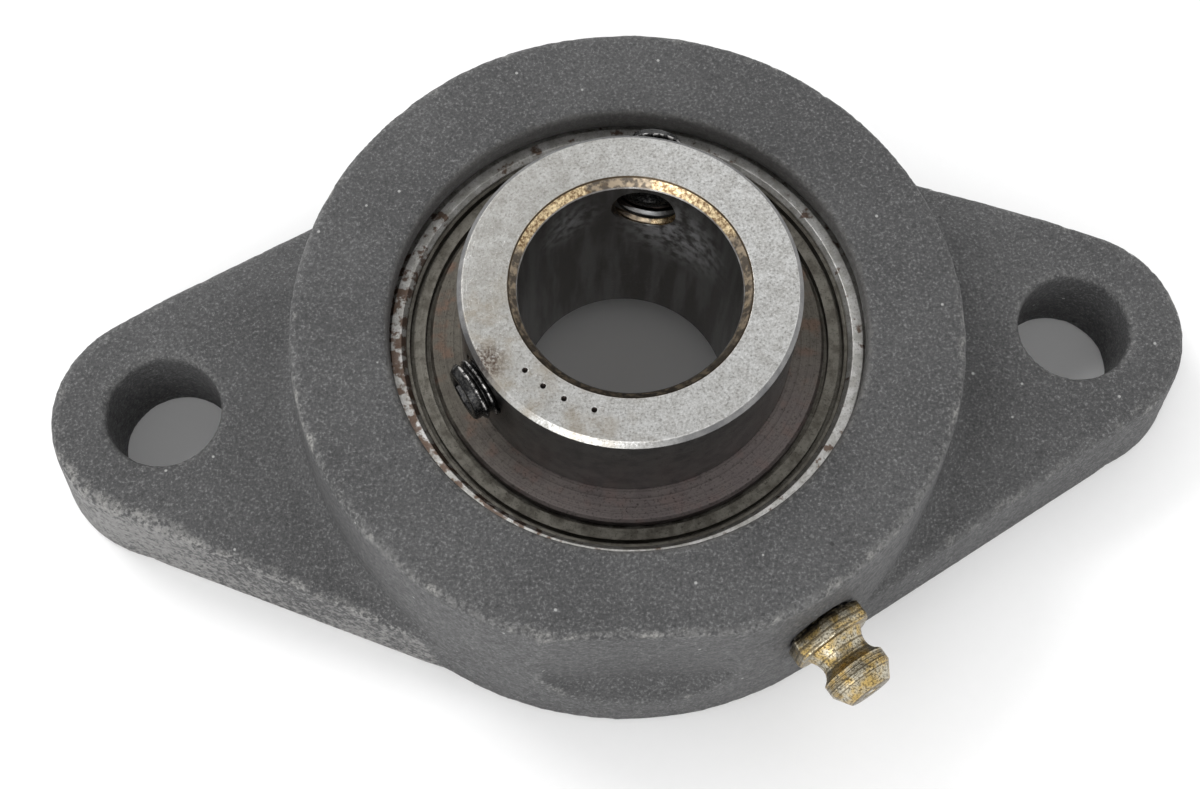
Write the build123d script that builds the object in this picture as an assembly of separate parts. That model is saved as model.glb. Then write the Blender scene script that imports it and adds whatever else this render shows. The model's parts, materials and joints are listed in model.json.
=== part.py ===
from build123d import *
import os
from math import acos, cos, degrees, hypot, radians, sin, sqrt, tan

# All lengths are in millimetres and all angles in degrees. The mounting face lies in z = 0
# and the shaft axis is the Z axis. The bolt holes lie along X.

# Housing casting
bolt_spacing = 99.0
bolt_hole_diameter = 12.1
bolt_hole_edge_radius = 0.4
arm_end_radius = 13.1
waist_step = 0.85
flange_height = 11.4
flange_draft = 5.3
arm_fall_setback = 0.3
arm_fall_angle = 15.0
arm_crease_radius = 4.0
flange_edge_radius = 1.2
seat_height = 12.7
boss_rise = 11.0
boss_wall = 10.15
boss_draft = 3.2
boss_edge_radius = 0.6
boss_foot_radius = 2.0
mouth_step = 1.6
mouth_chamfer = 0.35

# Shallow blank panel in the side of the boss
panel_azimuth = -94.0
panel_width = 19.4
panel_height = 15.5
panel_depth = 1.3
panel_corner_radius = 4.0
panel_side_slope = 40.0
panel_floor_fillet = 1.0

# Insert bearing, from the shaft outwards
shaft_bore_diameter = 22.225
inner_race_wall = 4.4
ball_count = 9
ball_diameter = 7.938
ball_clearance = 0.02
race_conformity = 1.03
outer_race_wall = 2.51
inner_shoulder_drop = 2.5
outer_shoulder_rise = 2.6
collar_length = 11.7
ring_rear_rise = 0.3
bore_front_chamfer = 0.95
bore_rear_chamfer = 0.6
ring_front_chamfer = 0.55
ring_rear_chamfer = 0.3
outer_edge_chamfer = 0.5
outer_land_chamfer = 0.45
seat_clearance = 0.03
loading_slot_clearance = 0.3

# Grease path
lube_hole_diameter = 3.6
lube_groove_offset = 2.7
lube_groove_width = 4.0
lube_groove_depth = 0.5
ring_hole_diameter = 1.4
ring_hole_offset = 3.85
ring_hole_count = 2

# Ball cage
cage_sheet = 0.6
cage_width = 2.8
cage_ball_clearance = 0.12
rivet_radius = 0.65
rivet_head_radius = 1.15
rivet_head_height = 0.5

# Seals, shrouds and flingers
seal_sheet = 0.4
shroud_seat_step = 0.8
shroud_seat_depth = 2.2
shroud_rim_height = 1.45
shroud_gutter = 0.4
shroud_rib_height = 1.0
shroud_rib_width = 1.2
shroud_hole_gap = 1.6
seal_thickness = 0.5
seal_cage_gap = 0.111
seal_edge_setback = 0.3
seal_lip_clearance = 0.05
seal_lip_rise = 0.75
seal_lip_thickness = 0.35
flinger_edge_setback = 0.5
flinger_sheet = 0.7
flinger_lip = 0.5
flinger_dish = 0.2
flinger_edge_chamfer = 0.3

# Set screws
screw_diameter = 6.35
screw_length = 6.35
screw_clearance = 0.05
screw_setback = 4.9
screw_azimuths = (-155.0, 75.0)
screw_tip_setback = 1.64
socket_across_flats = 3.175
socket_depth = 3.0
cup_radius = 1.7
cup_depth = 0.8
screw_chamfer = 0.5

# Grease fitting
fitting_azimuth = -62.0
fitting_rise = 0.5
spot_face_radius = 5.6
spot_face_depth = 0.34
fitting_standoff = 0.3
shank_diameter = 6.35
shank_length = 5.2
hex_across_flats = 7.94
hex_height = 2.1
hex_corner_chamfer = 0.35
waist_length = 3.0
neck_share = 0.6
neck_radius = 2.6
head_radius = 3.45
head_length = 1.4
nose_length = 1.7
tip_radius = 2.3
fitting_bore_radius = 1.45
fitting_mouth_radius = 0.95
fitting_mouth_depth = 0.45
fitting_end_lip = 0.4
fitting_end_chamfer = 0.5
grease_ball_radius = 1.25
grease_ball_clearance = 0.04
spring_wire = 0.26
spring_wire_sides = 6
spring_turns = 5
spring_clearance = 0.15

# Every cut runs this far past the faces that it opens
cut_overrun = 1.0

# Edges are picked out by their place to within this much
position_tolerance = 0.01

# Bearing sizes that follow: radii from the bore outwards, offsets from the middle of the insert
ball_radius = ball_diameter / 2
cage_half_height = ball_radius + cage_ball_clearance + cage_sheet
shroud_seat_offset = cage_half_height + seal_cage_gap + seal_thickness
half_width = shroud_seat_offset + shroud_seat_depth
shaft_bore_radius = shaft_bore_diameter / 2
pitch_radius = shaft_bore_radius + inner_race_wall + ball_clearance + ball_radius
race_radius = ball_radius * race_conformity
inner_ring_radius = pitch_radius - inner_shoulder_drop
inner_ring_front = half_width + collar_length
inner_ring_rear = half_width + ring_rear_rise
outer_shoulder_radius = pitch_radius + outer_shoulder_rise
outer_sphere_radius = pitch_radius + ball_radius + ball_clearance + outer_race_wall
ball_azimuths = [360 / ball_count * index for index in range(ball_count)]

# Seal sizes that follow
shroud_seat_radius = outer_shoulder_radius + shroud_seat_step
shroud_rib_outer = shroud_seat_radius - seal_sheet - shroud_gutter
shroud_rib_inner = shroud_rib_outer - shroud_rib_width
shroud_hole_radius = inner_ring_radius + shroud_hole_gap
seal_outer_radius = shroud_rib_inner - seal_edge_setback
flinger_radius = shroud_rib_inner - flinger_edge_setback

# Housing and set screw sizes that follow
mouth_radius = outer_sphere_radius - mouth_step
boss_face_radius = mouth_radius + boss_wall
boss_height = seat_height + boss_rise
waist_radius = boss_face_radius + waist_step
screw_height = seat_height + inner_ring_front - screw_setback
screw_tip_radius = shaft_bore_radius + screw_tip_setback

# Grease fitting sizes that follow
fitting_height = seat_height + fitting_rise
head_start = hex_height + waist_length
head_end = head_start + head_length
fitting_length = head_end + nose_length


def ring_body(outline):
    """Solid of revolution about Z from closed (radius, height) corners."""
    return revolve(Plane.XZ * make_face(Polyline(*outline, close=True)), Axis.Z)


def disc(radius, bottom, top):
    return extrude(Pos(0, 0, bottom) * Circle(radius), top - bottom)


def radial_plane(azimuth, height, distance):
    """Plane facing outwards, square to the radius at this azimuth and height."""
    way = Vector(cos(radians(azimuth)), sin(radians(azimuth)), 0)
    origin = way * distance + Vector(0, 0, height)
    return Plane(origin=origin, x_dir=(0, 0, 1), z_dir=way)


def radial_pin(azimuth, height, radius, start, end):
    """Cylinder along the radius, between two distances from the Z axis."""
    return extrude(radial_plane(azimuth, height, start) * Circle(radius), end - start)


def circles_at(body, radius, height):
    """The round edges of this radius at this height, about any upright axis."""
    circles = body.edges().filter_by(GeomType.CIRCLE)
    level = circles.filter_by_position(Axis.Z, height - position_tolerance, height + position_tolerance)
    return level.filter_by(lambda edge: abs(edge.radius - radius) < position_tolerance)


def boss_radius_at(height):
    return boss_face_radius + (boss_height - height) * tan(radians(boss_draft))


def spot_face_distance():
    """Distance from the shaft axis to the flat that the grease fitting stands on."""
    return boss_radius_at(fitting_height) - spot_face_depth


def flange_outline():
    """Two arm ends and the waist, joined by their common tangents."""
    half = bolt_spacing / 2
    turn = degrees(acos((waist_radius - arm_end_radius) / half))
    right = CenterArc((half, 0), arm_end_radius, -turn, 2 * turn)
    left = CenterArc((-half, 0), arm_end_radius, 180 - turn, 2 * turn)
    back = CenterArc((0, 0), waist_radius, turn, 180 - 2 * turn)
    front = CenterArc((0, 0), waist_radius, 180 + turn, 180 - 2 * turn)
    sides = [Line(right @ 1, back @ 0), Line(back @ 1, left @ 0)]
    sides += [Line(left @ 1, front @ 0), Line(front @ 1, right @ 0)]
    return make_face([right, back, left, front] + sides)


def flange():
    """Drafted oval plate whose arms are flat along the middle and fall away to both sides."""
    plate = extrude(flange_outline(), flange_height, taper=flange_draft)
    crease = arm_end_radius - arm_fall_setback
    low = flange_height - (waist_radius - crease) * tan(radians(arm_fall_angle))
    corners = [(crease, flange_height), (waist_radius, flange_height), (waist_radius, low)]
    fall = extrude(Plane.YZ * make_face(Polyline(*corners, close=True)), bolt_spacing, both=True)
    plate = plate - fall - mirror(fall, Plane.XZ)
    plate = fillet(plate.edges().filter_by(Axis.X).group_by(Axis.Z)[-1], arm_crease_radius)
    above_base = plate.edges().filter_by(lambda edge: edge.bounding_box().min.Z > position_tolerance)
    return fillet(above_base - above_base.filter_by(Axis.X), flange_edge_radius)


def is_boss_foot(edge):
    """True for an edge where the boss wall meets the top of the flange."""
    box = edge.bounding_box()
    middle = edge.position_at(0.5)
    on_wall = abs(hypot(middle.X, middle.Y) - boss_radius_at(middle.Z)) < position_tolerance
    inside = box.min.Z > position_tolerance and box.max.Z < boss_height - position_tolerance
    return on_wall and inside


def casting():
    """Flange and round boss as cast, before any machining."""
    boss = extrude(Circle(boss_radius_at(0)), boss_height, taper=boss_draft)
    body = flange() + Rot(0, 0, 90) * boss
    body = fillet(body.edges().filter_by(is_boss_foot), boss_foot_radius)
    body = fillet(circles_at(body, boss_face_radius, boss_height), boss_edge_radius)
    return body - side_panel()


def side_panel():
    """Pocket with sloping sides cast into the side of the boss, open at its top."""
    plane = radial_plane(panel_azimuth, boss_height, boss_face_radius - panel_depth)
    outline = RectangleRounded(2 * panel_height, panel_width, panel_corner_radius)
    pocket = extrude(outline, boss_foot_radius + panel_depth, taper=-panel_side_slope)
    pocket = fillet(pocket.edges().group_by(Axis.Z)[0], panel_floor_fillet)
    return plane * pocket


def loading_slots():
    """Two slots in the back face, wide enough to pass the insert in edgewise."""
    width = 2 * (half_width + loading_slot_clearance)
    reach = outer_sphere_radius + loading_slot_clearance
    strip = Pos(0, 0, seat_height / 2) * Box(3 * reach, width, 3 * seat_height)
    return disc(reach, -cut_overrun, seat_height) & strip


def grease_port():
    """Spot face, shank hole and the narrow way on to the seat."""
    foot = spot_face_distance() + fitting_standoff - shank_length
    inside = outer_sphere_radius - cut_overrun
    outside = spot_face_distance() + cut_overrun
    port = radial_pin(fitting_azimuth, fitting_height, spot_face_radius, spot_face_distance(), outside)
    port += radial_pin(fitting_azimuth, fitting_height, shank_diameter / 2, foot, outside)
    return port + radial_pin(fitting_azimuth, fitting_height, lube_hole_diameter / 2, inside, outside)


def housing():
    body = casting()
    body -= disc(mouth_radius, -cut_overrun, boss_height + cut_overrun)
    body -= Pos(0, 0, seat_height) * Sphere(outer_sphere_radius + seat_clearance)
    body -= loading_slots()
    body -= grease_port()
    bolt_hole = disc(bolt_hole_diameter / 2, -cut_overrun, flange_height + cut_overrun)
    for side in (-1, 1):
        body -= Pos(side * bolt_spacing / 2, 0, 0) * bolt_hole
    body = fillet(circles_at(body, bolt_hole_diameter / 2, flange_height), bolt_hole_edge_radius)
    return chamfer(circles_at(body, mouth_radius, boss_height), mouth_chamfer)


def outer_ring():
    body = Sphere(outer_sphere_radius) & disc(outer_sphere_radius, -half_width, half_width)
    body = chamfer(body.edges().filter_by(GeomType.CIRCLE), outer_edge_chamfer)
    body -= disc(outer_shoulder_radius, -half_width - cut_overrun, half_width + cut_overrun)
    body -= Torus(pitch_radius + ball_radius + ball_clearance - race_radius, race_radius)
    shroud_seat = disc(shroud_seat_radius, shroud_seat_offset, half_width + cut_overrun)
    body -= shroud_seat + mirror(shroud_seat, Plane.XY)
    for face in (-half_width, half_width):
        body = chamfer(circles_at(body, shroud_seat_radius, face), outer_land_chamfer)
    return Pos(0, 0, seat_height) * (body - lube_groove())


def lube_groove():
    """Groove round the outer ring and the small holes from it to the balls."""
    low = lube_groove_offset - lube_groove_width / 2
    high = lube_groove_offset + lube_groove_width / 2
    floor = sqrt(outer_sphere_radius ** 2 - lube_groove_offset ** 2) - lube_groove_depth
    rim = outer_sphere_radius + cut_overrun
    groove = ring_body([(floor, low), (rim, low), (rim, high), (floor, high)])
    for index in range(ring_hole_count):
        turn = 360 / ring_hole_count * index
        groove += radial_pin(turn, ring_hole_offset, ring_hole_diameter / 2, pitch_radius, rim)
    return groove


def inner_ring():
    rear = seat_height - inner_ring_rear
    front = seat_height + inner_ring_front
    outline = [
        (shaft_bore_radius + bore_rear_chamfer, rear),
        (inner_ring_radius - ring_rear_chamfer, rear),
        (inner_ring_radius, rear + ring_rear_chamfer),
        (inner_ring_radius, front - ring_front_chamfer),
        (inner_ring_radius - ring_front_chamfer, front),
        (shaft_bore_radius + bore_front_chamfer, front),
        (shaft_bore_radius, front - bore_front_chamfer),
        (shaft_bore_radius, rear + bore_rear_chamfer),
    ]
    body = ring_body(outline)
    race_centre = pitch_radius - ball_radius - ball_clearance + race_radius
    body -= Pos(0, 0, seat_height) * Torus(race_centre, race_radius)
    for azimuth in screw_azimuths:
        body -= radial_pin(azimuth, screw_height, screw_diameter / 2, 0, inner_ring_radius + cut_overrun)
    return body


def ball(azimuth):
    return Rot(0, 0, azimuth) * Pos(pitch_radius, 0, seat_height) * Sphere(ball_radius)


def cage_half():
    """Upper half of a ribbon cage about z = 0: flat webs between domed ball pockets."""
    pocket = ball_radius + cage_ball_clearance
    ribbon = disc(pitch_radius + cage_width / 2, 0, cage_half_height)
    ribbon -= disc(pitch_radius - cage_width / 2, -cut_overrun, cage_half_height + cut_overrun)
    sheet = disc(pitch_radius + cage_width, 0, cage_sheet)
    for azimuth in ball_azimuths:
        sheet += Rot(0, 0, azimuth) * Pos(pitch_radius, 0, 0) * Sphere(cage_half_height)
    half = ribbon & sheet
    rivet_hole = Pos(pitch_radius, 0, 0) * disc(rivet_radius, -cut_overrun, cage_sheet + cut_overrun)
    for azimuth in ball_azimuths:
        half -= Rot(0, 0, azimuth) * Pos(pitch_radius, 0, 0) * Sphere(pocket)
        half -= Rot(0, 0, azimuth + 180 / ball_count) * rivet_hole
    return half


def cage_rivets():
    """One rivet through each pair of webs, headed on both sides."""
    head = disc(rivet_head_radius, cage_sheet, cage_sheet + rivet_head_height)
    rivet = disc(rivet_radius, -cage_sheet, cage_sheet) + head + mirror(head, Plane.XY)
    rivets = [
        Rot(0, 0, azimuth + 180 / ball_count) * Pos(pitch_radius, 0, seat_height) * rivet
        for azimuth in ball_azimuths
    ]
    return Compound(children=rivets)


def shroud():
    """Pressed carrier of the seal, for the upper side of an insert about z = 0."""
    floor = shroud_seat_offset
    rib_top = floor + shroud_rib_height
    return ring_body([
        (shroud_seat_radius, floor),
        (shroud_seat_radius, floor + shroud_rim_height),
        (shroud_seat_radius - seal_sheet, floor + shroud_rim_height),
        (shroud_seat_radius - seal_sheet, floor + seal_sheet),
        (shroud_rib_outer, floor + seal_sheet),
        (shroud_rib_outer, rib_top + seal_sheet),
        (shroud_rib_inner, rib_top + seal_sheet),
        (shroud_rib_inner, floor + seal_sheet),
        (shroud_hole_radius, floor + seal_sheet),
        (shroud_hole_radius, floor),
        (shroud_rib_inner + seal_sheet, floor),
        (shroud_rib_inner + seal_sheet, rib_top),
        (shroud_rib_outer - seal_sheet, rib_top),
        (shroud_rib_outer - seal_sheet, floor),
    ])


def seal():
    """Rubber disc under the shroud, with a lip that leans outwards against the inner ring."""
    top = shroud_seat_offset
    lip = inner_ring_radius + seal_lip_clearance
    return ring_body([
        (seal_outer_radius, top - seal_thickness),
        (seal_outer_radius, top),
        (shroud_hole_radius, top),
        (lip + seal_lip_thickness, top + seal_lip_rise),
        (lip, top + seal_lip_rise),
        (shroud_hole_radius - seal_thickness, top - seal_thickness),
    ])


def flinger():
    """Dished disc on the inner ring, flush with the outer ring, its edge turned back inwards."""
    face = half_width
    edge_face = face - flinger_dish
    body = ring_body([
        (inner_ring_radius, face - flinger_sheet),
        (inner_ring_radius, face),
        (flinger_radius, edge_face),
        (flinger_radius, edge_face - flinger_sheet - flinger_lip),
        (flinger_radius - flinger_sheet, edge_face - flinger_sheet - flinger_lip),
        (flinger_radius - flinger_sheet, edge_face - flinger_sheet),
    ])
    return chamfer(circles_at(body, flinger_radius, edge_face), flinger_edge_chamfer)


def front(piece):
    return Pos(0, 0, seat_height) * piece


def rear(piece):
    return front(mirror(piece, Plane.XY))


def set_screw(azimuth):
    """Cup-point grub screw with a hexagon socket, standing on its cup before it is placed."""
    radius = screw_diameter / 2 - screw_clearance
    body = disc(radius, 0, screw_length)
    body = chamfer(body.edges().filter_by(GeomType.CIRCLE), screw_chamfer)
    socket = RegularPolygon(socket_across_flats / 2, 6, major_radius=False)
    body -= Pos(0, 0, screw_length - socket_depth) * extrude(socket, socket_depth)
    body -= Pos(0, 0, cup_depth / 2) * Cone(cup_radius, 0, cup_depth)
    return radial_plane(azimuth, screw_height, screw_tip_radius) * body


def grease_fitting_body():
    """Hexagon, waist and head of a ball-check nipple, bored from end to end."""
    shank = shank_diameter / 2
    hexagon = extrude(RegularPolygon(hex_across_flats / 2, 6, major_radius=False), hex_height)
    corner = hex_across_flats / 2 / cos(radians(30))
    blank = chamfer(disc(corner, 0, hex_height).edges().group_by(Axis.Z)[-1], hex_corner_chamfer)
    neck = (neck_radius, hex_height + neck_share * waist_length)
    waist = ThreePointArc((shank, hex_height), neck, (head_radius, head_start))
    outline = [
        waist,
        Line((head_radius, head_start), (head_radius, head_end)),
        Line((head_radius, head_end), (tip_radius, fitting_length)),
        Line((tip_radius, fitting_length), (0, fitting_length)),
        Line((0, fitting_length), (0, -shank_length)),
        Line((0, -shank_length), (shank - fitting_end_chamfer, -shank_length)),
        Line((shank - fitting_end_chamfer, -shank_length), (shank, fitting_end_chamfer - shank_length)),
        Line((shank, fitting_end_chamfer - shank_length), (shank, hex_height)),
    ]
    body = revolve(Plane.XZ * make_face(outline), Axis.Z) + (hexagon & blank)
    body -= disc(fitting_bore_radius, fitting_end_lip - shank_length, fitting_length - fitting_mouth_depth)
    body -= disc(fitting_mouth_radius, -shank_length - cut_overrun, fitting_length + cut_overrun)
    return fitting_plane() * body


def fitting_plane():
    return radial_plane(fitting_azimuth, fitting_height, spot_face_distance() + fitting_standoff)


def grease_ball_centre():
    """Height of the check ball in the fitting when it is against its mouth."""
    behind_mouth = sqrt(grease_ball_radius ** 2 - fitting_mouth_radius ** 2)
    return fitting_length - fitting_mouth_depth - behind_mouth - grease_ball_clearance


def grease_ball():
    return fitting_plane() * Pos(0, 0, grease_ball_centre()) * Sphere(grease_ball_radius)


def grease_spring():
    """Open coil from the turned-in end of the shank to the back of the check ball."""
    coil = fitting_bore_radius - spring_clearance - spring_wire / 2
    touch = grease_ball_radius + spring_wire / 2 + grease_ball_clearance
    start = fitting_end_lip - shank_length + spring_wire / 2
    length = grease_ball_centre() - sqrt(touch ** 2 - coil ** 2) - start
    path = Pos(0, 0, start) * Helix(length / spring_turns, length, coil)
    wire = Plane(origin=path @ 0, z_dir=path % 0) * RegularPolygon(spring_wire / 2, spring_wire_sides)
    return fitting_plane() * sweep(wire, path=path)


def nodes():
    """Every separate piece by its name."""
    pieces = {
        "housing": housing(),
        "outer_ring": outer_ring(),
        "inner_ring": inner_ring(),
        "cage_front": front(cage_half()),
        "cage_rear": rear(cage_half()),
        "cage_rivets": cage_rivets(),
        "shroud_front": front(shroud()),
        "shroud_rear": rear(shroud()),
        "seal_front": front(seal()),
        "seal_rear": rear(seal()),
        "flinger_front": front(flinger()),
        "flinger_rear": rear(flinger()),
        "grease_fitting_body": grease_fitting_body(),
        "grease_ball": grease_ball(),
        "grease_spring": grease_spring(),
    }
    for number, azimuth in enumerate(ball_azimuths, 1):
        pieces[f"ball_{number}"] = ball(azimuth)
    for number, azimuth in enumerate(screw_azimuths, 1):
        pieces[f"set_screw_{number}"] = set_screw(azimuth)
    return pieces


if __name__ == "__main__":
    os.makedirs("parts", exist_ok=True)
    for name, piece in nodes().items():
        export_step(piece, f"parts/{name}.step")
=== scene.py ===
import json
from math import cos, floor, inf, pi, radians, sin, tan

import bmesh
import bpy
import numpy as np
from mathutils import Matrix, Vector, noise

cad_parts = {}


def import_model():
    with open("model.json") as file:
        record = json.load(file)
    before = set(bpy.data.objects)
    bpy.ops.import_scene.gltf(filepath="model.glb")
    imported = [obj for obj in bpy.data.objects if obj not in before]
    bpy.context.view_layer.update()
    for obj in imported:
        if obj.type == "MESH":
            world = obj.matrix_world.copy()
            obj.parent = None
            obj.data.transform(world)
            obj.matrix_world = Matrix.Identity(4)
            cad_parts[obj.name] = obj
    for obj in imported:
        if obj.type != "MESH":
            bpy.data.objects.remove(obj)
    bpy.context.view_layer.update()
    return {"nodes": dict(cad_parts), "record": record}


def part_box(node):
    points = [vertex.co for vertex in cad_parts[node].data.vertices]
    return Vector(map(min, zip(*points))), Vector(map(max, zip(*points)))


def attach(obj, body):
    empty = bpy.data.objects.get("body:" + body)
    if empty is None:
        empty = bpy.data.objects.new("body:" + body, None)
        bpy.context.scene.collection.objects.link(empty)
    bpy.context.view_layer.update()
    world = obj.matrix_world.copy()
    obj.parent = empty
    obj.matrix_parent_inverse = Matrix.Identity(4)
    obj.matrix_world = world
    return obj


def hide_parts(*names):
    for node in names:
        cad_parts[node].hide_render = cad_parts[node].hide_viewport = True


# Dresses the CAD frame of a two-bolt flange bearing unit: a sand-cast skin for the housing,
# threads and punch dots for the steel, a turned grease fitting, the materials, the studio and
# the camera. Nothing here moves or edits the CAD's shapes.
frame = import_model()
nodes = frame["nodes"]
record = frame["record"]
MM = 0.001


def mount(name):
    return next(entry for entry in record["mounts"] if entry["name"] == name)


def joint(name):
    return next(entry for entry in record["behaviour"]["joints"] if entry["name"] == name)


def middle(node):
    """Centre of a CAD node's box, in millimetres."""
    low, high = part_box(node)
    return (low + high) / 2 / MM


# Places of the main forms, in millimetres, read from the frame
BOSS_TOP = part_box("housing")[1].z / MM
RING_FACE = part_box("inner_ring")[1].z / MM
RING_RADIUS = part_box("inner_ring")[1].x / MM
SPHERE_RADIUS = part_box("outer_ring")[1].x / MM
BORE_RADIUS = mount("shaft_bore")["dims"]["r_mm"]
BOLT_X = mount("bolt_holes")["dims"]["spacing_x_mm"] / 2
BOLT_RADIUS = mount("bolt_holes")["dims"]["hole_r_mm"]
NIPPLE_TIP = Vector(mount("grease_nipple")["pos_m"]) / MM
NIPPLE_WAY = Vector(mount("grease_nipple")["axis"])
SCREWS = ("set_screw_1", "set_screw_2")

# Round walls of the casting, in millimetres and degrees
MOUTH_RADIUS = 24.4
BOSS_FACE_RADIUS = 34.55
BOSS_DRAFT = 3.2
ARM_END_RADIUS = 13.1
FLANGE_DRAFT = 5.3
SPOT_FACE_RADIUS = 5.6

# The casting's skin, in millimetres: the grid of its remesh, and how near to a round wall a
# point has to lie to be moved on to it, above and below the low height
SKIN_VOXEL = 0.48
WALL_REACH = 0.1
LOW_WALL_REACH = 0.32
LOW_WALL_HEIGHT = 1.0

# Passes that even out, in turn, the measure of the skin's edges, the edges themselves and the
# edge of the mounting face, which is what lies below the base height, in millimetres
CONVEXITY_PASSES = 3
EDGE_SOFT_PASSES = 2
BASE_SOFT_PASSES = 4
BASE_SOFT_HEIGHT = 0.6

# Relief of the casting: for each noise the millimetres across a lump and a seed, and then how
# deep the sand texture, the swells and the chips go, in millimetres
SAND = (0.95, 3.1)
SWELL = (6.5, 7.7)
PATCH = (3.2, 12.3)
BITE = (1.2, 21.9)
SAND_DEPTH = 0.045
SWELL_DEPTH = 0.03
CHIP_DEPTH = 0.09

# The near left rim of the flange is rubbed the most. It lies below this height, and the wear
# grows from nothing to full over these spans of x and y, all in millimetres.
RUBBED_TOP = 12.5
RUBBED_X = (-6.0, -14.0)
RUBBED_Y = (4.0, -6.0)

# Sizes of the thread, socket and cup of the set screws, in millimetres. The thread is drawn
# with this many rows to a pitch, and its flat and its flank are shares of half a pitch.
SCREW_RADIUS = 3.125
SCREW_LENGTH = 6.35
SCREW_CHAMFER = 0.5
THREAD_PITCH = 0.907
THREAD_DEPTH = 0.5
THREAD_STEPS = 9
THREAD_ROOT_SHARE = 0.12
THREAD_FLANK_SHARE = 0.72
TAPPED_RADIUS = 3.175
TAPPED_DEPTH = 0.32
SOCKET_APOTHEM = 1.5875
SOCKET_DEPTH = 3.0
CUP_RADIUS = 1.7
CUP_DEPTH = 0.8

# Sizes of the grease fitting along its axis, from the back of its hexagon, in millimetres
FITTING_LENGTH = 8.2
HEX_APOTHEM = 3.97
HEX_HEIGHT = 2.1
HEX_CHAMFER = 0.35
NECK_RADIUS = 2.6
NECK_STEPS = 10
HEAD_RADIUS = 3.45
HEAD_START = 5.1
HEAD_END = 6.5
HEAD_GROOVES = 5
NOSE_RADIUS = 2.3
WAY_RADIUS = 1.45
WAY_MOUTH_RADIUS = 0.95
SHANK_RADIUS = 3.175
SHANK_LENGTH = 5.2

# Four plain centre-punch dots in the face of the inner ring, in degrees and millimetres
PUNCH_AZIMUTHS = (-144.0, -134.0, -124.0, -111.0)
PUNCH_CIRCLE = 13.7
PUNCH_RADIUS = 0.32
PUNCH_TIP = 0.02
PUNCH_DEPTH = 0.3

# Radius of a screw's innermost rows, in millimetres, so that their points stay apart
TURNED_TIP = 0.05

# Points that lie this near to each other, in millimetres, are one
WELD_DISTANCE = 0.0002

# The camera that the photo was taken with, solved from the flange's own circles. Its angles
# are in degrees, its lens and sensor in millimetres.
CAMERA_PLACE = Vector((-13.55, -77.73, 192.7)) * MM
CAMERA_YAW = 7.996
CAMERA_TILT = 22.648
CAMERA_ROLL = -2.049
CAMERA_LENS = 54.99
SENSOR_WIDTH = 36.0

# The studio: a soft sky that is dim overhead, where the camera hangs, a key light from behind
# on the left and a low fill from the front. The sky's edges are angles from straight up, in
# degrees. The places and sizes of the lights and the table are in metres.
WORLD_LEVEL = 1.12
OVERHEAD_LEVEL = 0.4
OVERHEAD_CORE = 14.0
OVERHEAD_EDGE = 30.0
KEY_PLACE = (-0.34, 0.40, 0.52)
KEY_SIZE = 0.3
KEY_POWER = 1.9
FILL_PLACE = (-0.30, -0.55, 0.34)
FILL_SIZE = 0.45
FILL_POWER = 1.6
LIGHT_AIM = Vector((0, 0, 0.01))
TABLE_SIZE = 3.0

# Places of a Mix node's colour sockets, which share their names with its other sockets
MIX_A, MIX_B, MIX_RESULT = 6, 7, 2

# Rays that a Bevel node takes to round an edge
BEVEL_SAMPLES = 4


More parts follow.
